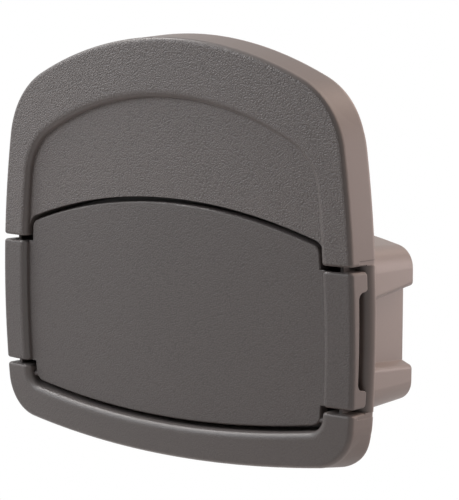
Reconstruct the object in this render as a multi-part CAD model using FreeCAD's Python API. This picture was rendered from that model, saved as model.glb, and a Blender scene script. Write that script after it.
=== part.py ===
"""Wall-mounted hose hanger with a storage compartment, in millimetres.

Frame: X to the right as seen from the front, Y into the wall, Z up. The wall is the plane
y = 0 and the origin is the centre of the four screw holes in the compartment's back wall.

There are two mouldings. The body is one thin-walled piece: a crowned front frame with an open
back, the drum that carries the hose, and the compartment inside the drum. The door is the
other: a sunk panel between two ears, on pivot pins at its lower corners.
"""
import math
import os

import FreeCAD
import Part

V = FreeCAD.Vector

# Front frame
HALF_WIDTH = 200.7        # widest half-width of the outline
WIDEST_Z = -5.8           # height where the outline is widest
SIDE_R = 1012.0           # bulge of the outline's sides
TOP_Z = 229.7             # apex of the top edge
TOP_R = 358.0
SHOULDER_R = 71.6         # between the top edge and the sides
BOTTOM_Z = -125.2         # lowest point of the bottom edge
BOTTOM_R = 1192.0
CORNER_R = 38.3           # between the sides and the bottom edge
DEPTH = 115.0             # from the wall to the crown of the face
FRAME_DEPTH = 39.7        # from the crown of the face to the rear edge of the frame
CROWN_Z = 93.6            # height of the foremost point of the face
CROWN_PLAN_R = 2387.0     # crown of the face seen from above
CROWN_SIDE_R = 4292.0     # crown of the face seen from the side
EDGE_R = 4.5              # rounding of the front edge
WALL = 3.0                # wall of both mouldings

# Arched field, sunk into the face
BORDER = 30.0             # raised border at the sides
SINK = 6.5                # depth of the field and of the door's panel
ARCH_Z = 179.5            # apex of the field
ARCH_R = 300.0
ARCH_SHOULDER_R = 50.0
LIP_R = 6.0               # rounding of the border's inner edge, and of the ears'
LAND = 0.05               # least flat left beside a rounding that its wall limits

# Mouth of the compartment, which the door closes
MOUTH_TOP_Z = 95.3
MOUTH_TOP_R = 519.5
MOUTH_BOTTOM_Z = -97.0
MOUTH_BOTTOM_R = 1004.0
MOUTH_UPPER_R = 12.0
MOUTH_LOWER_R = 14.0
SEAT_RECESS = 3.7         # from the frame's rear edge to the plate round the drum's mouth
NOTCH_DROP = 15.5544      # from the mouth's top edge at its sides to the top of the side notches
NOTCH_RISE = 15.3824      # from its bottom edge at its sides to their bottom
NOTCH_DEPTH = 29.5        # from the crown to the floor of the notches
NOTCH_R = 2.5             # rounding of the notches' edges
NOTCH_RIM_R = 9.5         # rounding of their floors' outer edges
MARK_STEP = 0.5           # shut-off marks on the sides, beside the notches
MARK_HEIGHT = 4.2
MARK_SETBACK = 8.0        # from the face's edge to the marks

# Drum, at the wall; it widens towards the front by its draft
DRUM_INSET = 19.1         # from the frame's widest point to the drum's side
DRUM_SIDE_R = 9080.0      # the sides are nearly flat
DRUM_TOP_Z = 79.0
DRUM_TOP_R = 705.0
DRUM_SHOULDER_R = 19.0
DRUM_BOTTOM_Z = -84.8
DRUM_BOTTOM_R = 1000.0
DRUM_CORNER_R = 17.0
DRUM_DRAFT = 3.3          # degrees
FLANK_INSET = 9.8         # channel along each flank, in from the saddle's side
FLANK_TOP_Z = 23.0        # foot of the upper ledge at the wall
FLANK_BOTTOM_Z = -37.2    # foot of the lower ledge at the wall
LEDGE_SLOPE = 22.0        # degrees, ledges open outwards
UPPER_LEDGE_DRAFT = 6.8   # degrees, ledges open towards the wall
LOWER_LEDGE_DRAFT = 4.1
LEDGE_R = 4.0             # rounding of the ledges' outer edges

# Screw holes in the back wall
SCREW_SPACING_X = 240.0
SCREW_SPACING_Z = 60.0
SCREW_HOLE_R = 3.0

# Door
DOOR_GAP = 4.2            # panel to the mouth, all round
EAR_GAP = 4.3             # ears to the notches
PANEL_EDGE_R = 1.5        # rounding of the panel's edge
PANEL_RIM_DEPTH = 10.0    # return round the panel
RIM_WALL = 2.5
EAR_SEAT_GAP = 1.0        # ears to the floor of the notches and its rounding
FOOT_REACH = 0.8          # from that floor to the rear of an ear's feet, round its outer edge
EAR_CAP_WIDTH = 12.0      # top and bottom returns of an ear, in from its side
EAR_LIP_R = 2.5           # rounding of the ears' top and bottom edges
CHEEK_CLEARANCE = 2.5     # ear's inner face to the cheek wall behind it
GRIP_DEPTH = 8.0          # side return left in front of the finger slot
UPPER_FOOT = 16.1         # height of an ear above its finger slot
LOWER_FOOT = 14.7         # height of an ear below it
GRIP_R = 6.0              # curves at the ends of the finger slot
FOOT_R = 4.0              # rear corners of an ear's feet

# Door pivots
PIVOT_RISE = 22.0         # from the mouth's lowest point to the pivot axis
PIVOT_DEPTH = 19.0        # from the crown to the pivot axis
PIN_R = 3.0
PIN_CLEARANCE = 0.15      # pin to its hole, on the radius

FAR = 400.0               # reach of cutting tools beyond the part

REAR_Y = FRAME_DEPTH - DEPTH
SEAT_Y = REAR_Y - SEAT_RECESS
NOTCH_Y = NOTCH_DEPTH - DEPTH
PIVOT_Y = PIVOT_DEPTH - DEPTH
MOUTH_TOP_SAG = MOUTH_TOP_R - math.sqrt(MOUTH_TOP_R ** 2 - (HALF_WIDTH - BORDER) ** 2)
NOTCH_TOP_Z = MOUTH_TOP_Z - MOUTH_TOP_SAG - NOTCH_DROP
MOUTH_BOTTOM_SAG = MOUTH_BOTTOM_R - math.sqrt(MOUTH_BOTTOM_R ** 2 - (HALF_WIDTH - BORDER) ** 2)
NOTCH_BOTTOM_Z = MOUTH_BOTTOM_Z + MOUTH_BOTTOM_SAG + NOTCH_RISE
EAR_TOP_Z = NOTCH_TOP_Z - EAR_GAP
EAR_BOTTOM_Z = NOTCH_BOTTOM_Z + EAR_GAP
GRIP_TOP_Z = EAR_TOP_Z - UPPER_FOOT
GRIP_BOTTOM_Z = EAR_BOTTOM_Z + LOWER_FOOT
PIVOT_Z = MOUTH_BOTTOM_Z + PIVOT_RISE
NOTCH_X = HALF_WIDTH - BORDER - LIP_R   # where the notches start, inside the mouth
DRUM_HALF_WIDTH = HALF_WIDTH - DRUM_INSET
CHEEK_X = DRUM_HALF_WIDTH - SEAT_Y * math.tan(math.radians(DRUM_DRAFT))


def face_y(x, z, depth=0.0):
    """Return y of the crowned face, set back by depth, at the point x, z."""
    return -DEPTH + depth + x * x / (2 * CROWN_PLAN_R) + (z - CROWN_Z) ** 2 / (2 * CROWN_SIDE_R)


def behind_face(depth):
    """Return everything behind the crowned face set back by depth.

    The face is a paraboloid, which a patch of three by three poles holds exactly: the middle
    pole of each row lies where the tangents at its ends meet.
    """
    xs = (-FAR, 0.0, FAR)
    zs = (CROWN_Z - FAR, CROWN_Z, CROWN_Z + FAR)
    sag_x = FAR ** 2 / (2 * CROWN_PLAN_R)
    sag_z = FAR ** 2 / (2 * CROWN_SIDE_R)
    patch = Part.BezierSurface()
    patch.increase(2, 2)
    for i, x in enumerate(xs):
        for j, z in enumerate(zs):
            y = -DEPTH + depth + sag_x * (-1 if i == 1 else 1) + sag_z * (-1 if j == 1 else 1)
            patch.setPole(i + 1, j + 1, V(x, y, z))
    return patch.toShape().extrude(V(0, FAR, 0))


def corner_centre(c1, d1, c2, d2, towards):
    """Return the point at d1 from c1 and d2 from c2, on the side that towards points to."""
    apart = c2 - c1
    span = apart.Length
    along = (d1 * d1 - d2 * d2 + span * span) / (2 * span)
    across = math.sqrt(d1 * d1 - along * along)
    u = apart * (1 / span)
    n = V(-u.z, 0, u.x)
    if n.dot(towards) < 0:
        n = n * -1
    return c1 + u * along + n * across


def outline(half_w, side_z, side_r, top_z, top_r, bottom_z, bottom_r, upper_r, lower_r):
    """Return a closed wire of tangent arcs in the plane y = 0, symmetrical about x = 0.

    Bulging top, bottom and sides meet in round corners of upper_r and lower_r.
    """
    top_c = V(0, 0, top_z - top_r)
    bottom_c = V(0, 0, bottom_z + bottom_r)
    side_c = V(half_w - side_r, 0, side_z)
    up_c = corner_centre(top_c, top_r - upper_r, side_c, side_r - upper_r, V(1, 0, 1))
    low_c = corner_centre(bottom_c, bottom_r - lower_r, side_c, side_r - lower_r, V(1, 0, -1))

    def on(centre, r, through):
        d = through - centre
        return centre + d * (r / d.Length)

    def mirrored(p):
        return V(-p.x, p.y, p.z)

    t1 = on(top_c, top_r, up_c)
    t2 = on(side_c, side_r, up_c)
    t3 = on(side_c, side_r, low_c)
    t4 = on(bottom_c, bottom_r, low_c)
    up_mid = on(up_c, upper_r, t1 + t2 - up_c)
    low_mid = on(low_c, lower_r, t3 + t4 - low_c)
    side_mid = on(side_c, side_r, (t2 + t3) * 0.5)
    right = [(t1, up_mid, t2), (t2, side_mid, t3), (t3, low_mid, t4)]
    left = [tuple(mirrored(p) for p in reversed(arc)) for arc in reversed(right)]
    arcs = [(mirrored(t1), V(0, 0, top_z), t1)] + right
    arcs += [(t4, V(0, 0, bottom_z), mirrored(t4))] + left
    return Part.Wire([Part.Arc(*arc).toShape() for arc in arcs])


def prism(wire, y0, y1):
    """Return the solid of a wire in the plane y = 0, from y0 to y1."""
    solid = Part.Face(wire).extrude(V(0, y1 - y0, 0))
    solid.translate(V(0, y0, 0))
    return solid


def box(x0, x1, y0, y1, z0, z1):
    """Return the box between the given planes."""
    return Part.makeBox(x1 - x0, y1 - y0, z1 - z0, V(x0, y0, z0))


def both_sides(solid):
    """Return a solid and its mirror image in the plane x = 0."""
    return [solid, solid.mirror(V(0, 0, 0), V(1, 0, 0))]


def edges_where(shape, test):
    """Return the edges of a shape whose points, sampled along each, all pass a test."""
    whole = [edge for edge in shape.Edges if not edge.Degenerated]
    return [edge for edge in whole if all(test(p) for p in edge.discretize(5))]


def on_face(p):
    """Tell whether a point lies on the crowned face."""
    return abs(p.y - face_y(p.x, p.z)) < 0.02


def frame_outline(inset):
    """Return the frame's outline moved inwards by inset."""
    return outline(HALF_WIDTH - inset, WIDEST_Z, SIDE_R - inset, TOP_Z - inset, TOP_R - inset,
                   BOTTOM_Z + inset, BOTTOM_R - inset, SHOULDER_R - inset, CORNER_R - inset)


def arch_outline(grow):
    """Return the outline of the sunk field, which reaches down behind the door, grown by grow."""
    inset = BORDER - grow
    return outline(HALF_WIDTH - inset, WIDEST_Z, SIDE_R - inset, ARCH_Z + grow, ARCH_R + grow,
                   MOUTH_BOTTOM_Z - grow, MOUTH_BOTTOM_R + grow,
                   ARCH_SHOULDER_R + grow, MOUTH_LOWER_R + grow)


def mouth_outline(grow):
    """Return the outline of the compartment's mouth, grown by grow."""
    inset = BORDER - grow
    return outline(HALF_WIDTH - inset, WIDEST_Z, SIDE_R - inset, MOUTH_TOP_Z + grow,
                   MOUTH_TOP_R + grow, MOUTH_BOTTOM_Z - grow, MOUTH_BOTTOM_R + grow,
                   MOUTH_UPPER_R + grow, MOUTH_LOWER_R + grow)


def drum_outline(y, grow):
    """Return the drum's outline at y, grown by grow."""
    g = grow - y * math.tan(math.radians(DRUM_DRAFT))
    return outline(DRUM_HALF_WIDTH + g, 0.0, DRUM_SIDE_R + g, DRUM_TOP_Z + g, DRUM_TOP_R + g,
                   DRUM_BOTTOM_Z - g, DRUM_BOTTOM_R + g, DRUM_SHOULDER_R + g, DRUM_CORNER_R + g)


def drum_block(y0, y1, grow):
    """Return the tapered block of the drum from y0 to y1, grown by grow."""
    ends = []
    for y in (y0, y1):
        wire = drum_outline(y, grow)
        wire.translate(V(0, y, 0))
        ends.append(wire)
    return Part.makeLoft(ends, True, True)


def flank_channel(y0, y1, grow):
    """Return the right flank channel from y0 to y1, grown into the drum by grow.

    Its section is a trapezium that opens outwards, and it grows taller towards the wall.
    """
    reach = 2 * FLANK_INSET
    rise = reach * math.tan(math.radians(LEDGE_SLOPE))
    ends = []
    for y in (y0, y1):
        x = DRUM_HALF_WIDTH - y * math.tan(math.radians(DRUM_DRAFT)) - FLANK_INSET - grow
        up = FLANK_TOP_Z + y * math.tan(math.radians(UPPER_LEDGE_DRAFT)) + grow
        low = FLANK_BOTTOM_Z - y * math.tan(math.radians(LOWER_LEDGE_DRAFT)) - grow
        ends.append(Part.makePolygon([V(x, y, up), V(x + reach, y, up + rise),
                                      V(x + reach, y, low - rise), V(x, y, low), V(x, y, up)]))
    return Part.makeLoft(ends, True, True)


def crowned_block():
    """Return the frame as a solid block with its front edge rounded."""
    block = prism(frame_outline(0.0), -FAR, REAR_Y).common(behind_face(0.0))
    return block.makeFillet(EDGE_R, edges_where(block, on_face))


def side_room(x0, x1, y1, grow=0.0):
    """Return the room of the right notch between x0 and x1, from the front to y1, grown in height."""
    return box(x0, x1, -FAR, y1, NOTCH_BOTTOM_Z - grow, NOTCH_TOP_Z + grow)


def notch():
    """Return the right notch: the ear's place, the bay inside the cheek wall, the room outside it."""
    cheek_front = face_y(CHEEK_X, EAR_BOTTOM_Z, WALL + CHEEK_CLEARANCE)
    return side_room(NOTCH_X, FAR, cheek_front).fuse(
        [side_room(NOTCH_X, CHEEK_X - WALL, SEAT_Y), side_room(CHEEK_X, FAR, NOTCH_Y)])


def inner_edges(front):
    """Return the edges of the front that lie on the face, inside its rounded outer edge."""
    border = prism(frame_outline(2 * EDGE_R), -FAR, FAR)
    return [e for e in edges_where(front, on_face) if border.isInside(e.discretize(3)[1], 0.01, True)]


def lip_radius():
    """Return the rounding of the inner edges: LIP_R, or what the sunk wall has room for.

    The face leans at the border with its crown, so a rounding takes more of the wall than its radius.
    """
    lean = math.atan((HALF_WIDTH - BORDER) / CROWN_PLAN_R)
    return min(LIP_R, (SINK - LAND) * math.tan(math.pi / 4 - lean / 2))


def at_level(*levels):
    """Return a test that tells whether a point lies at one of the given heights."""
    return lambda p: min(abs(p.z - level) for level in levels) < 0.01


def make_front():
    """Return the frame as a solid block, with its field, mouth and notches cut and rounded."""
    field = prism(arch_outline(0.0), -FAR, FAR).cut(
        [behind_face(SINK), box(-FAR, FAR, -FAR, FAR, -FAR, WIDEST_Z)])
    front = crowned_block().cut([field, prism(mouth_outline(0.0), -FAR, SEAT_Y)])
    front = front.makeFillet(lip_radius(), inner_edges(front)).cut(both_sides(notch()))
    levels = at_level(NOTCH_TOP_Z, NOTCH_BOTTOM_Z)
    lips = [e for e in edges_where(front, on_face) if all(levels(p) for p in e.discretize(3))]
    return front.makeFillet(NOTCH_R, lips).cut(shut_off_marks() + both_sides(rim_rounding(0.0)))


def rim_rounding(gap, grow=0.0):
    """Return what lies outside the rounded rim of the right notch, at a gap from its surface.

    The rounding runs along the frame's bulged side, so its section is turned about the bulge's
    centre. The gap is negative inside the wall.
    """
    inner = HALF_WIDTH - NOTCH_RIM_R
    rear = NOTCH_Y + NOTCH_RIM_R
    r = NOTCH_RIM_R + gap
    corners = [(inner + r, rear), (HALF_WIDTH + 2 * r, rear), (HALF_WIDTH + 2 * r, rear - 2 * r),
               (inner, rear - 2 * r), (inner, rear - r)]
    points = [V(x, y, WIDEST_Z) for x, y in corners]
    middle = V(inner + r * math.sqrt(0.5), rear - r * math.sqrt(0.5), WIDEST_Z)
    arc = Part.Arc(points[-1], middle, points[0]).toShape()
    section = Part.Face(Part.Wire([arc] + Part.makePolygon(points).Edges))
    centre = V(HALF_WIDTH - SIDE_R, 0, WIDEST_Z)
    half_turn = math.degrees((NOTCH_TOP_Z - NOTCH_BOTTOM_Z) / SIDE_R)
    section.rotate(centre, V(0, 1, 0), -half_turn)
    return section.revolve(centre, V(0, 1, 0), 2 * half_turn).common(
        side_room(CHEEK_X, FAR, FAR, grow))


def shut_off_marks():
    """Return the cutters of the shallow steps on the frame's sides, above and below each notch."""
    start = face_y(HALF_WIDTH, EAR_BOTTOM_Z, MARK_SETBACK)
    marks = [box(CHEEK_X, FAR, start, FAR, NOTCH_TOP_Z, NOTCH_TOP_Z + MARK_HEIGHT),
             box(CHEEK_X, FAR, start, FAR, NOTCH_BOTTOM_Z - MARK_HEIGHT, NOTCH_BOTTOM_Z)]
    inside = prism(frame_outline(MARK_STEP), -FAR, FAR)
    return [side for mark in marks for side in both_sides(mark.cut(inside))]


def make_body():
    """Return the body: frame, compartment and drum in one moulding."""
    plate_y = SEAT_Y + WALL
    hollow = prism(frame_outline(WALL), -FAR, 0.0).common(behind_face(WALL))
    lined = [prism(arch_outline(WALL), -FAR, FAR).cut(behind_face(SINK + WALL)),
             prism(mouth_outline(WALL), -FAR, plate_y)]
    lined += both_sides(side_room(NOTCH_X, CHEEK_X, plate_y, WALL))
    lined += both_sides(side_room(NOTCH_X, FAR, NOTCH_Y + WALL, WALL).fuse(rim_rounding(-WALL, WALL)))
    shell = make_front().cut(hollow.cut(lined))

    drum = drum_block(SEAT_Y, 0.0, 0.0).cut(both_sides(flank_channel(plate_y, FLANK_INSET, 0.0)))
    drum = drum.makeFillet(LEDGE_R, ledge_edges(drum))
    room = drum_block(plate_y, -WALL, -WALL).cut(
        both_sides(flank_channel(plate_y - WALL, FLANK_INSET, WALL)))
    doorway = drum_block(SEAT_Y, plate_y, -WALL).common(
        prism(mouth_outline(0.0), SEAT_Y, plate_y).fuse(
            both_sides(side_room(NOTCH_X, CHEEK_X - WALL, plate_y))))
    holes = [Part.makeCylinder(SCREW_HOLE_R, 3 * WALL, V(x, -2 * WALL, z), V(0, 1, 0))
             for x in (-SCREW_SPACING_X / 2, SCREW_SPACING_X / 2)
             for z in (-SCREW_SPACING_Z / 2, SCREW_SPACING_Z / 2)]
    pivots = both_sides(pivot_pin(PIN_CLEARANCE))
    return shell.fuse(drum).cut([room, doorway] + holes + pivots)


def ledge_edges(drum):
    """Return the outer edges of the drum's flank channels."""
    def on_side(p):
        side_x = DRUM_HALF_WIDTH - p.y * math.tan(math.radians(DRUM_DRAFT))
        bulge = (FLANK_TOP_Z - FLANK_BOTTOM_Z) ** 2 / (2 * DRUM_SIDE_R)
        beside = FLANK_BOTTOM_Z - FLANK_INSET < p.z < FLANK_TOP_Z + FLANK_INSET
        return beside and abs(abs(p.x) - side_x) < bulge
    return [e for e in edges_where(drum, on_side) if e.BoundBox.YLength > -SEAT_Y / 2]


def pivot_pin(clearance):
    """Return the right pivot pin, from the panel's rim through the mouth's wall."""
    start = HALF_WIDTH - BORDER - DOOR_GAP - RIM_WALL - WALL
    end = HALF_WIDTH - BORDER + WALL
    return Part.makeCylinder(PIN_R + clearance, end - start,
                             V(start, PIVOT_Y, PIVOT_Z), V(1, 0, 0))


def make_ear(rear_y):
    """Return the right ear as a solid block down to rear_y, its feet reaching round the rim."""
    foot_y = NOTCH_Y + FOOT_REACH
    height = box(0.0, FAR, -FAR, foot_y, EAR_BOTTOM_Z, EAR_TOP_Z)
    height = height.makeFillet(FOOT_R, edges_where(height, lambda p: abs(p.y - foot_y) < 0.01
                                                   and at_level(EAR_TOP_Z, EAR_BOTTOM_Z)(p)))
    tall = box(HALF_WIDTH - 2 * BORDER, FAR, -FAR, foot_y, EAR_BOTTOM_Z - BORDER, EAR_TOP_Z + BORDER)
    ear = tall.cut(prism(frame_outline(BORDER), -FAR, FAR)).common(crowned_block())
    long_edge = [e for e in inner_edges(ear) if e.BoundBox.ZLength > e.BoundBox.XLength]
    ear = ear.makeFillet(lip_radius(), long_edge).common(height)
    ends = edges_where(ear, at_level(EAR_TOP_Z, EAR_BOTTOM_Z))
    ear = ear.makeFillet(EAR_LIP_R, [e for e in ends if all(on_face(p) for p in e.discretize(3))])
    return ear.common(side_room(0.0, FAR, rear_y).fuse(rim_rounding(EAR_SEAT_GAP)))


def finger_slot():
    """Return the cutter of the right finger slot, whose ends sweep out into the ear's feet."""
    front = face_y(HALF_WIDTH, (GRIP_TOP_Z + GRIP_BOTTOM_Z) / 2, GRIP_DEPTH)
    rear = NOTCH_Y + FOOT_REACH
    r = min(GRIP_R, (rear - front - LAND) / 2)
    slot = box(CHEEK_X, FAR, front, FAR, GRIP_BOTTOM_Z, GRIP_TOP_Z)
    slot = slot.fuse(box(CHEEK_X, FAR, rear, FAR, GRIP_BOTTOM_Z - 2 * r, GRIP_TOP_Z + 2 * r))
    at_ends = at_level(GRIP_TOP_Z, GRIP_BOTTOM_Z)
    return slot.makeFillet(r, edges_where(
        slot, lambda p: at_ends(p) and min(abs(p.y - front), abs(p.y - rear)) < 0.01))


def make_door():
    """Return the door: a sunk panel with a rim, two ears with finger slots, and the pivot pins."""
    rear_y = NOTCH_Y - EAR_SEAT_GAP
    ear_band = box(-FAR, FAR, -FAR, FAR, EAR_BOTTOM_Z, EAR_TOP_Z)
    inside_ears = prism(frame_outline(BORDER - WALL), -FAR, FAR)
    panel = prism(mouth_outline(-DOOR_GAP), -FAR, rear_y).common(behind_face(SINK))
    panel = panel.makeFillet(PANEL_EDGE_R, edges_where(
        panel, lambda p: abs(p.y - face_y(p.x, p.z, SINK)) < 0.02))
    tongue = prism(frame_outline(BORDER), -FAR, rear_y).common(ear_band).common(behind_face(SINK))
    solid = panel.fuse([tongue] + both_sides(make_ear(rear_y)))

    hollows = [prism(mouth_outline(-DOOR_GAP - RIM_WALL), -FAR, FAR).common(behind_face(SINK + WALL)),
               inside_ears.common(behind_face(SINK + PANEL_RIM_DEPTH)),
               inside_ears.common(ear_band).common(behind_face(SINK + WALL))]
    beside = box(0.0, HALF_WIDTH - EAR_CAP_WIDTH, -FAR, FAR, EAR_BOTTOM_Z, EAR_TOP_Z)
    between = box(0.0, FAR, -FAR, FAR, EAR_BOTTOM_Z + WALL, EAR_TOP_Z - WALL).common(
        prism(frame_outline(WALL), -FAR, FAR))
    hollows += both_sides(beside.fuse(between).cut(inside_ears).common(behind_face(WALL)))
    return solid.cut(hollows + both_sides(finger_slot())).fuse(both_sides(pivot_pin(0.0)))


os.makedirs("parts", exist_ok=True)
make_body().exportStep("parts/body.step")
make_door().exportStep("parts/door.step")
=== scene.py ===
"""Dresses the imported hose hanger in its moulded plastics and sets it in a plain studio.

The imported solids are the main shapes. This file gives each moulding its finish, built from shader
maths on the moulding's own coordinates, adds the draft of the frame's top and bottom walls, and
sets up the floor, the light and the camera. All lengths are in metres, in the frame of the
solids: X right, Y into the wall, Z up.
"""
from __future__ import annotations

import logging
import math
from dataclasses import dataclass, field
from enum import Enum
from typing import Optional, Union

import bmesh
import bpy
import numpy as np
from mathutils import Matrix, Vector


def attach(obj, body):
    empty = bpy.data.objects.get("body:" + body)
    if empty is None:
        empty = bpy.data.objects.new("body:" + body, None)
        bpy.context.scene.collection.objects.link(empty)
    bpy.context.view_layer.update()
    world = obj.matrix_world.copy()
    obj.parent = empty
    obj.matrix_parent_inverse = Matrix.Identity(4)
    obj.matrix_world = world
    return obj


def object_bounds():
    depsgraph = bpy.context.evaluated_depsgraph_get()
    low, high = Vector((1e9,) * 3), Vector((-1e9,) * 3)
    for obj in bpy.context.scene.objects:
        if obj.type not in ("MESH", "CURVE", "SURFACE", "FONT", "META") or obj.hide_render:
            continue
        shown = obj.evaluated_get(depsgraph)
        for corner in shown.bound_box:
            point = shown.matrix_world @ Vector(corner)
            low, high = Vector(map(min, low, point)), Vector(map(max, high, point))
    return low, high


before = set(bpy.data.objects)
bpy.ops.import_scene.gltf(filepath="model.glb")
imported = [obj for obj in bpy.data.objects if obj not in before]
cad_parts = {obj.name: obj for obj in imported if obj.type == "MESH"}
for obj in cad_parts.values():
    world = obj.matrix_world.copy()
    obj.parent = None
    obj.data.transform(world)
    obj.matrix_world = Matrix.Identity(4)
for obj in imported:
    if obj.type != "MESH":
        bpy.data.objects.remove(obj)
CAD_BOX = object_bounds()

LOG = logging.getLogger("hose_hanger")
WHITE = (1.0, 1.0, 1.0, 1.0)
COOL = (0.92, 0.97, 1.02)
NOISE_MEAN = 0.5

Colour = tuple[float, float, float]
Point = tuple[float, float, float]
Value = Union["Signal", float, int]


class Signal:
    """One socket of a shader board, usable in Python expressions on numbers."""

    def __init__(self, board: "Board", socket: bpy.types.NodeSocket) -> None:
        """Wrap a socket of a board.

        Args:
            board: The board that the socket's node lies on.
            socket: The output socket.
        """
        self.board = board
        self.socket = socket

    def __add__(self, other: Value) -> "Signal":
        """Return the sum."""
        return self.board.math("ADD", self, other)

    def __radd__(self, other: Value) -> "Signal":
        """Return the sum."""
        return self.board.math("ADD", other, self)

    def __sub__(self, other: Value) -> "Signal":
        """Return the difference."""
        return self.board.math("SUBTRACT", self, other)

    def __rsub__(self, other: Value) -> "Signal":
        """Return the difference, with this signal taken away."""
        return self.board.math("SUBTRACT", other, self)

    def __mul__(self, other: Value) -> "Signal":
        """Return the product."""
        return self.board.math("MULTIPLY", self, other)

    def __rmul__(self, other: Value) -> "Signal":
        """Return the product."""
        return self.board.math("MULTIPLY", other, self)

    def __neg__(self) -> "Signal":
        """Return the signal with its sign turned."""
        return self.board.math("MULTIPLY", self, -1.0)

    def ramp(self, low: float, high: float) -> "Signal":
        """Return a smooth step of this signal.

        Args:
            low: The value where the step starts, at 0.
            high: The value where the step ends, at 1; it may lie below low.

        Returns:
            The step, from 0 to 1.
        """
        return self.board.node(
            "ShaderNodeMapRange", {"interpolation_type": "SMOOTHSTEP"},
            {"Value": self, "From Min": low, "From Max": high})


class Board:
    """A node tree of a material or of the world, with one method that adds any node."""

    def __init__(self, tree: bpy.types.NodeTree) -> None:
        """Start with an emptied tree.

        Args:
            tree: The tree.
        """
        self.tree = tree
        self.tree.nodes.clear()

    def node(self, kind: str, settings: dict, inputs: dict,
             output: Union[str, int, None] = 0) -> Optional[Signal]:
        """Add a node.

        Args:
            kind: The node's type.
            settings: Properties that are set before its sockets.
            inputs: Values or signals, by the socket's name or number.
            output: The name or number of the output that is wanted, or None for an output node.

        Returns:
            The wanted output.
        """
        made = self.tree.nodes.new(kind)
        for key, value in settings.items():
            setattr(made, key, value)
        for key, value in inputs.items():
            if isinstance(value, Signal):
                self.tree.links.new(value.socket, made.inputs[key])
            else:
                made.inputs[key].default_value = value
        return None if output is None else Signal(self, made.outputs[output])

    def math(self, operation: str, a: Value, b: Value) -> Signal:
        """Return the result of a Math node on two values."""
        return self.node("ShaderNodeMath", {"operation": operation}, {0: a, 1: b})

    def part(self, vector: Signal, axis: str) -> Signal:
        """Return one component, X, Y or Z, of a vector."""
        return self.node("ShaderNodeSeparateXYZ", {}, {"Vector": vector}, axis)

    def looked_at(self) -> Signal:
        """Return 1 for rays of the camera, of reflections and through glass, or else 0."""
        kinds = [self.node("ShaderNodeLightPath", {}, {}, kind)
                 for kind in ("Is Camera Ray", "Is Glossy Ray", "Is Transmission Ray")]
        return self.math("MINIMUM", kinds[0] + kinds[1] + kinds[2], 1.0)

    def send(self, kind: str, shader: Signal) -> None:
        """Send a shader to an output node of the given type, which is added."""
        self.node(kind, {}, {"Surface": shader}, None)


def new_material(name: str) -> tuple[bpy.types.Material, Board]:
    """Start a material with an emptied tree.

    Args:
        name: The material's name.

    Returns:
        The material and the board of its tree.
    """
    material = bpy.data.materials.new(name)
    material.use_nodes = True
    return material, Board(material.node_tree)


class Zone(Enum):
    """Which grain covers a moulding's show face."""

    PEBBLED = "pebbled above, finer below"
    FINE = "fine all over"


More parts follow.
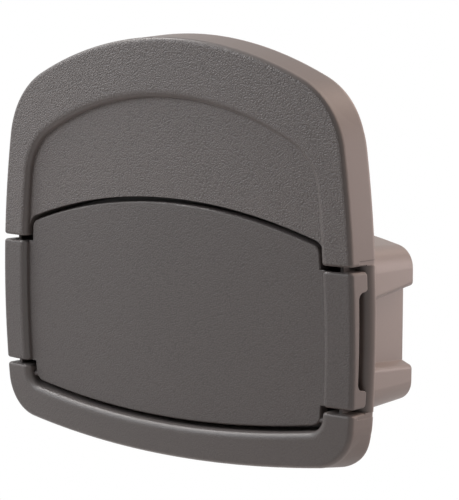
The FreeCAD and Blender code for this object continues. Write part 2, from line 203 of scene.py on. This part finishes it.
@dataclass(frozen=True)
class MouldedPlastic:
    """A through-coloured plastic: grained where it faces the viewer, satin on its rounded edges.

    The grain's height is the sum of two fields. The pebbles are smooth Voronoi cells, 1 minus the
    distance to the cell's centre. The fine grain is fractal noise. Both are full on walls whose
    normal points forwards and which lie in front of the plane show_y. Elsewhere there are no
    pebbles and a little fine grain. The pebbles also carry painted shade in the colour: darker in
    their valleys, lighter on their tops. Walls that face sideways or backwards are rougher than the
    edges, and the drum, behind the plane drum_y, is painted paler, as painted light that makes it
    look more brightly lit than the frame.
    """

    name: str
    zone: Zone
    colour: Colour
    show_y: float = -0.088
    show_fade: float = 0.002
    facing: tuple[float, float] = (0.72, 0.95)      # -Y of the normal where the grain fades in
    turned: tuple[float, float] = (-0.35, -0.15)    # Y of the normal where an edge becomes a wall
    pebble_size: float = 0.0013
    pebble_height: float = 0.00070
    pebble_smoothness: float = 0.6
    pebble_mean: float = 0.45
    # painted shade: how much darker the pebbles' valleys and lighter their tops are coloured
    pebble_cavity_shade: float = 0.60
    fade_low: float = -0.05                         # below this height the pebbles are weak
    fade_high: float = 0.10                         # above this height they are full
    weak_pebbles: float = 0.3                       # their share low on a pebbled moulding
    door_pebbles: float = 0.55                      # their share on a fine-grained moulding
    fine_size: float = 0.0009
    fine_height: float = 0.00009
    fine_detail: float = 2.0
    fine_tint: float = 0.10
    wall_fine: float = 0.15                         # share of the fine grain off the show face
    cloud_scale: float = 14.0                       # slow mottle of colour and gloss, per metre
    cloud_detail: float = 3.0
    cloud_tint: float = 0.10
    cloud_gloss: float = 0.08
    grain_roughness: float = 0.50
    satin_roughness: float = 0.36
    wall_roughness: float = 0.55
    drum_roughness: float = 0.45
    drum_y: float = -0.078
    drum_fade: float = 0.002
    # painted light: how much paler the drum is coloured, as if more brightly lit
    drum_painted_light: float = 0.42
    edge_radius: float = 0.0009
    edge_samples: int = 6
    ior: float = 1.49

    def material(self) -> bpy.types.Material:
        """Build the plastic.

        Returns:
            The material.
        """
        plastic, board = new_material(self.name)
        place = board.node("ShaderNodeTexCoord", {}, {}, "Object")
        normal = board.node("ShaderNodeTexCoord", {}, {}, "Normal")
        y = board.part(place, "Y")
        shown = (-board.part(normal, "Y")).ramp(*self.facing)
        shown = shown * y.ramp(self.show_y + self.show_fade, self.show_y)
        drum = y.ramp(self.drum_y, self.drum_y + self.drum_fade)
        wall = board.part(normal, "Y").ramp(*self.turned)

        fine = board.node(
            "ShaderNodeTexNoise", {},
            {"Vector": place, "Scale": 1 / self.fine_size, "Detail": self.fine_detail}, "Fac")
        cloud = board.node(
            "ShaderNodeTexNoise", {},
            {"Vector": place, "Scale": self.cloud_scale, "Detail": self.cloud_detail}, "Fac")
        pebble = self.pebbles(board, place) * shown

        shade = (cloud - NOISE_MEAN) * self.cloud_tint + (fine - NOISE_MEAN) * self.fine_tint
        # Painted shade: the pebbles' valleys are coloured darker and their tops lighter.
        shade = shade + (pebble - self.pebble_mean) * self.pebble_cavity_shade * shown + 1.0
        # Painted light: the drum's colour is raised, as if it were more brightly lit than the
        # frame.
        shade = shade * (drum * self.drum_painted_light + 1.0)
        grey = board.node("ShaderNodeCombineXYZ", {}, {"X": shade, "Y": shade, "Z": shade})
        pigment = board.node(
            "ShaderNodeVectorMath", {"operation": "MULTIPLY"}, {0: self.colour, 1: grey})

        gloss = shown * (self.grain_roughness - self.satin_roughness) + self.satin_roughness
        gloss = gloss + wall * (self.wall_roughness - self.satin_roughness)
        gloss = gloss + drum * (self.drum_roughness - self.wall_roughness)
        gloss = gloss + (cloud - NOISE_MEAN) * self.cloud_gloss

        height = pebble * self.pebble_height
        height = height + fine * (shown * (1 - self.wall_fine) + self.wall_fine) * self.fine_height
        rounded = board.node(
            "ShaderNodeBevel", {"samples": self.edge_samples}, {"Radius": self.edge_radius})
        relief = board.node(
            "ShaderNodeBump", {},
            {"Strength": 1.0, "Distance": 1.0, "Height": height, "Normal": rounded})
        shader = board.node(
            "ShaderNodeBsdfPrincipled", {},
            {"Base Color": pigment, "Roughness": gloss, "IOR": self.ior, "Normal": relief}, "BSDF")
        board.send("ShaderNodeOutputMaterial", shader)
        return plastic

    def pebbles(self, board: Board, place: Signal) -> Signal:
        """Add the pebbles, weakened as the zone says: low down, or all over.

        Args:
            board: The board of the material.
            place: The object coordinates.

        Returns:
            The pebbles' height, from 0 to 1.
        """
        cells = board.node(
            "ShaderNodeTexVoronoi", {"feature": "SMOOTH_F1"},
            {"Vector": place, "Scale": 1 / self.pebble_size, "Smoothness": self.pebble_smoothness},
            "Distance")
        pebble = 1 - cells
        if self.zone is Zone.FINE:
            return pebble * self.door_pebbles
        high = board.part(place, "Z").ramp(self.fade_low, self.fade_high)
        return pebble * (high * (1 - self.weak_pebbles) + self.weak_pebbles)


@dataclass
class Moulding:
    """One moulded piece of the hanger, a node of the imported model."""

    node: str
    slot: str
    plastic: MouldedPlastic

    def dress(self) -> bpy.types.Object:
        """Give the piece its plastic.

        Returns:
            The piece.
        """
        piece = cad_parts[self.node]
        material = self.plastic.material()
        piece.data.materials.clear()
        piece.data.materials.append(material)
        return piece


class End(Enum):
    """An end of the frame, with the sign of its direction along Z."""

    TOP = 1.0
    BOTTOM = -1.0


@dataclass(frozen=True)
class FrameOutline:
    """The frame's outline, five tangent arcs on each half, by the angle of the outward normal.

    Where the normal's angle is a, a point of the right half is c + r * (cos a, sin a), with the
    centre c and the radius r of the arc that a falls on. The face that it bounds is a paraboloid.
    """

    half_width: float = 0.2007
    widest_z: float = -0.0058
    side_r: float = 1.012
    top_z: float = 0.2297
    top_r: float = 0.358
    shoulder_r: float = 0.0716
    bottom_z: float = -0.1252
    bottom_r: float = 1.192
    corner_r: float = 0.0383
    crown_y: float = -0.115
    crown_z: float = 0.0936
    crown_plan_r: float = 2.387
    crown_side_r: float = 4.292
    edge_r: float = 0.0045

    def corner_centre(self, end: End, end_centre: np.ndarray, end_r: float,
                      corner_r: float) -> np.ndarray:
        """Work out the centre of a round corner, inside the side's arc and an end's arc.

        Args:
            end: The end that the corner is at.
            end_centre: The centre of that end's arc.
            end_r: The radius of that arc.
            corner_r: The radius of the corner.

        Returns:
            The corner's centre.
        """
        side_centre = np.array([self.half_width - self.side_r, self.widest_z])
        apart = side_centre - end_centre
        span = np.linalg.norm(apart)
        along = ((end_r - corner_r) ** 2 - (self.side_r - corner_r) ** 2 + span ** 2) / (2 * span)
        across = math.sqrt((end_r - corner_r) ** 2 - along ** 2)
        unit = apart / span
        aside = np.array([-unit[1], unit[0]])
        aside = aside * np.sign(aside @ np.array([1.0, end.value]))
        return end_centre + unit * along + aside * across

    def right_half(self, angles: np.ndarray) -> np.ndarray:
        """Work out points of the right half.

        Args:
            angles: The angles of the outward normal, from -pi/2 to pi/2.

        Returns:
            The points' x and z, one row per angle.
        """
        bottom = np.array([0.0, self.bottom_z + self.bottom_r])
        top = np.array([0.0, self.top_z - self.top_r])
        side = np.array([self.half_width - self.side_r, self.widest_z])
        low = self.corner_centre(End.BOTTOM, bottom, self.bottom_r, self.corner_r)
        high = self.corner_centre(End.TOP, top, self.top_r, self.shoulder_r)
        joins = np.array([low - bottom, low - side, high - side, high - top])
        arc = np.searchsorted(np.arctan2(joins[:, 1], joins[:, 0]), angles)
        centres = np.array([bottom, low, side, high, top])
        radii = np.array([self.bottom_r, self.corner_r, self.side_r, self.shoulder_r, self.top_r])
        return centres[arc] + radii[arc, None] * np.stack([np.cos(angles), np.sin(angles)], axis=-1)

    def rounding_end(self, path: np.ndarray) -> np.ndarray:
        """Work out where the rounding of the front edge ends on the walls.

        The face lies at crown_y + x^2 / (2 * plan_r) + (z - crown_z)^2 / (2 * side_r), and the
        rounding ends its radius behind it.

        Args:
            path: The x and z of points of the outline, one row each.

        Returns:
            The y of the rounding's end at each point.
        """
        sag = path[:, 0] ** 2 / (2 * self.crown_plan_r)
        sag = sag + (path[:, 1] - self.crown_z) ** 2 / (2 * self.crown_side_r)
        return self.crown_y + self.edge_r + sag


@dataclass(frozen=True)
class WallDraft:
    """The draft of the frame's top or bottom wall: a wedge on the wall, thickest at the rear.

    The wedge's profile is carried along the outline. Its outer side lies at the height
    h = (slope + crest * m) * w * (y - y0) - bury - end_sink * (1 - w) over the wall, where y0 is
    where the front edge's rounding ends, w is a smooth step of the normal's upward or downward
    share, 0 on the frame's sides, and m = (1 - (x / crest_reach)^2)^2 is a bump over the middle.
    The inner side lies at the depth root in the wall.
    """

    name: str
    end: End
    slope: float
    crest: float = 0.0
    crest_reach: float = 0.140
    share_low: float = 0.10
    share_high: float = 0.80
    rear_y: float = -0.0752
    bury: float = 0.00015
    end_sink: float = 0.0005
    root: float = 0.0012
    sharp_angle: float = 30.0
    steps: int = 90
    rings: int = 9

    def build(self, outline: FrameOutline, plastic: bpy.types.Material) -> bpy.types.Object:
        """Build the wedge on the body.

        Args:
            outline: The frame's outline.
            plastic: The body's plastic.

        Returns:
            The wedge.
        """
        points = self.points(outline)
        mesh = self.mesh(points)
        mesh.materials.append(plastic)
        wedge = bpy.data.objects.new(self.name, mesh)
        bpy.context.scene.collection.objects.link(wedge)
        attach(wedge, "body")
        return wedge

    def points(self, outline: FrameOutline) -> np.ndarray:
        """Work out the wedge's points, with the formula of the class.

        Args:
            outline: The frame's outline.

        Returns:
            The points: one row per place along the outline, one column round the profile.
        """
        angles = np.linspace(math.asin(self.share_low), math.pi / 2, self.steps) * self.end.value
        right = outline.right_half(angles)
        out = np.stack([np.cos(angles), np.sin(angles)], axis=-1)
        mirror = np.array([-1.0, 1.0])
        path = np.concatenate([right, right[-2::-1] * mirror])
        out = np.concatenate([out, out[-2::-1] * mirror])

        span = self.share_high - self.share_low
        share = np.clip((np.abs(out[:, 1]) - self.share_low) / span, 0.0, 1.0)
        share = share * share * (3 - 2 * share)
        middle = np.clip(1 - (path[:, 0] / self.crest_reach) ** 2, 0.0, 1.0) ** 2
        lean = (self.slope + self.crest * middle) * share

        front = outline.rounding_end(path)
        behind = (self.rear_y - front)[:, None] * np.linspace(0.0, 1.0, self.rings)
        rise = lean[:, None] * behind - self.bury - self.end_sink * (1 - share[:, None])
        y = front[:, None] + behind
        y = np.concatenate([y, y[:, ::-1]], axis=1)
        rise = np.concatenate([rise, np.full_like(rise, -self.root)], axis=1)
        return np.stack([path[:, None, 0] + out[:, None, 0] * rise, y,
                         path[:, None, 1] + out[:, None, 1] * rise], axis=-1)

    def mesh(self, points: np.ndarray) -> bpy.types.Mesh:
        """Skin the points with a closed mesh, faces outwards and smooth but for its corners.

        Args:
            points: The points, by place along the outline and round the profile.

        Returns:
            The mesh.
        """
        count, around = points.shape[:2]
        index = np.arange(count * around).reshape(count, around)
        beside = np.roll(index, -1, axis=1)
        sides = np.stack([index[:-1], beside[:-1], beside[1:], index[1:]], axis=-1).reshape(-1, 4)
        mesh = bpy.data.meshes.new(self.name)
        mesh.from_pydata(points.reshape(-1, 3).tolist(), [],
                         sides.tolist() + [index[0].tolist(), index[-1].tolist()])
        form = bmesh.new()
        form.from_mesh(mesh)
        bmesh.ops.recalc_face_normals(form, faces=form.faces)
        form.to_mesh(mesh)
        form.free()
        mesh.polygons.foreach_set("use_smooth", np.ones(len(mesh.polygons), dtype=bool))
        mesh.set_sharp_from_angle(angle=math.radians(self.sharp_angle))
        return mesh


@dataclass(frozen=True)
class SoftBox:
    """A square area lamp that points at the hanger."""

    name: str
    place: Point
    size: float
    watts: float
    colour: Colour

    def hang(self, aim: Vector) -> bpy.types.Object:
        """Put the lamp up.

        Args:
            aim: The point that it faces.

        Returns:
            The lamp.
        """
        data = bpy.data.lights.new(self.name, "AREA")
        data.size = self.size
        data.energy = self.watts
        data.color = self.colour
        lamp = bpy.data.objects.new(self.name, data)
        lamp.location = self.place
        lamp.rotation_euler = (aim - Vector(self.place)).to_track_quat("-Z", "Y").to_euler()
        bpy.context.scene.collection.objects.link(lamp)
        return lamp


@dataclass
class Studio:
    """Floor, light and camera."""

    camera_place: Point = (1.1453, -1.3388, 0.2337)
    camera_aim: Point = (0.08073, -0.115, 0.05723)
    camera_roll: float = 0.21
    lens: float = 144.26
    sensor: float = 36.0
    floor_z: float = -0.42
    floor_reach: float = 9.0
    floor_points: int = 9
    floor_shade: float = 0.86
    shadow_fade: tuple[float, float] = (0.35, 0.95)  # distances over which the shadow is lost
    white_share: float = 0.7                         # how white the floor shows at its middle
    lamps: list[SoftBox] = field(default_factory=lambda: [
        SoftBox("left", (-1.57, -0.956, 0.895), size=1.0, watts=7.6, colour=COOL),
        SoftBox("front_left", (-1.10, -1.60, 1.25), size=1.0, watts=16.8, colour=COOL),
        SoftBox("left_high", (-1.27, -0.28, 1.56), size=0.5, watts=15.0, colour=(1.0, 0.97, 0.95)),
        SoftBox("right_rear", (1.6, 0.801, 0.895), size=1.0, watts=4.6, colour=(1.0, 0.70, 0.55)),
        SoftBox("low_rear", (1.318, 1.414, 0.30), size=1.0, watts=18.0, colour=(1.0, 0.84, 0.81)),
        SoftBox("high_rear", (0.643, 1.063, 1.582), size=1.0, watts=24.0,
                colour=(1.0, 0.79, 0.68)),
    ])

    def floor(self) -> bpy.types.Object:
        """Lay the floor: the level grid of points (u, v, floor_z), u and v within its reach.

        Returns:
            The floor.
        """
        line = np.linspace(-self.floor_reach, self.floor_reach, self.floor_points)
        u, v = np.meshgrid(line, line, indexing="ij")
        points = np.stack([u, v, np.full_like(u, self.floor_z)], axis=-1).reshape(-1, 3)
        index = np.arange(u.size).reshape(u.shape)
        faces = np.stack([index[:-1, :-1], index[1:, :-1], index[1:, 1:], index[:-1, 1:]],
                         axis=-1)
        mesh = bpy.data.meshes.new("floor")
        mesh.from_pydata(points.tolist(), [], faces.reshape(-1, 4).tolist())
        floor = bpy.data.objects.new("floor", mesh)
        bpy.context.scene.collection.objects.link(floor)
        floor.data.materials.append(self.floor_paint())
        return floor

    def floor_paint(self) -> bpy.types.Material:
        """Mix the pale paint with white for the camera's rays, fully white away from the middle.

        Returns:
            The paint.
        """
        paint, board = new_material("floor_paint")
        matt = board.node("ShaderNodeBsdfDiffuse", {}, {"Color": (*[self.floor_shade] * 3, 1.0)})
        white = board.node("ShaderNodeEmission", {}, {"Color": WHITE, "Strength": 1.0})
        place = board.node("ShaderNodeTexCoord", {}, {}, "Object")
        level = board.node(
            "ShaderNodeVectorMath", {"operation": "MULTIPLY"}, {0: place, 1: (1.0, 1.0, 0.0)})
        away = board.node("ShaderNodeVectorMath", {"operation": "LENGTH"}, {0: level}, "Value")
        share = away.ramp(*self.shadow_fade) * (1 - self.white_share) + self.white_share
        share = share * board.looked_at()
        board.send("ShaderNodeOutputMaterial",
                   board.node("ShaderNodeMixShader", {}, {0: share, 1: matt, 2: white}))
        return paint

    def room(self) -> None:
        """Show the room as white to the camera and to reflections, with no light of its own."""
        world = bpy.data.worlds.new("room")
        bpy.context.scene.world = world
        world.use_nodes = True
        board = Board(world.node_tree)
        dark = board.node("ShaderNodeBackground", {}, {"Strength": 0.0})
        white = board.node("ShaderNodeBackground", {}, {"Color": WHITE, "Strength": 1.0})
        mixed = board.node("ShaderNodeMixShader", {}, {0: board.looked_at(), 1: dark, 2: white})
        board.send("ShaderNodeOutputWorld", mixed)

    def camera(self) -> bpy.types.Object:
        """Set the camera where the photograph was taken from.

        Returns:
            The camera.
        """
        data = bpy.data.cameras.new("camera")
        data.lens = self.lens
        data.sensor_width = self.sensor
        camera = bpy.data.objects.new("camera", data)
        place, aim = Vector(self.camera_place), Vector(self.camera_aim)
        turn = (aim - place).to_track_quat("-Z", "Y").to_matrix()
        turn = turn @ Matrix.Rotation(math.radians(self.camera_roll), 3, "Z")
        camera.matrix_world = Matrix.Translation(place) @ turn.to_4x4()
        bpy.context.scene.collection.objects.link(camera)
        bpy.context.scene.camera = camera
        return camera

    def set_up(self) -> None:
        """Build the studio round the hanger."""
        self.floor()
        self.room()
        low, high = CAD_BOX
        for lamp in self.lamps:
            lamp.hang((low + high) / 2)
        self.camera()
        bpy.context.scene.view_settings.view_transform = "Standard"


def main() -> None:
    """Build the studio, dress the mouldings, draft the frame's walls and report each piece."""
    logging.basicConfig(level=logging.INFO, format="%(name)s: %(message)s")
    Studio().set_up()
    body_plastic = MouldedPlastic("body_plastic", Zone.PEBBLED, (0.150, 0.129, 0.121))
    door_plastic = MouldedPlastic(
        "door_plastic", Zone.FINE, (0.129, 0.111, 0.105), satin_roughness=0.22)
    for moulding in (Moulding("body", "body_plastic", body_plastic),
                     Moulding("door", "door_plastic", door_plastic)):
        piece = moulding.dress()
        LOG.info("%s: %d triangles in %s", piece.name, len(piece.data.polygons),
                 moulding.plastic.name)
    outline = FrameOutline()
    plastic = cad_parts["body"].data.materials[0]
    for draft in (WallDraft("top_draft", End.TOP, slope=0.056, crest=0.032),
                  WallDraft("bottom_draft", End.BOTTOM, slope=0.135)):
        wedge = draft.build(outline, plastic)
        LOG.info("%s: %d faces in %s", wedge.name, len(wedge.data.polygons), plastic.name)


if __name__ == "__main__":
    main()
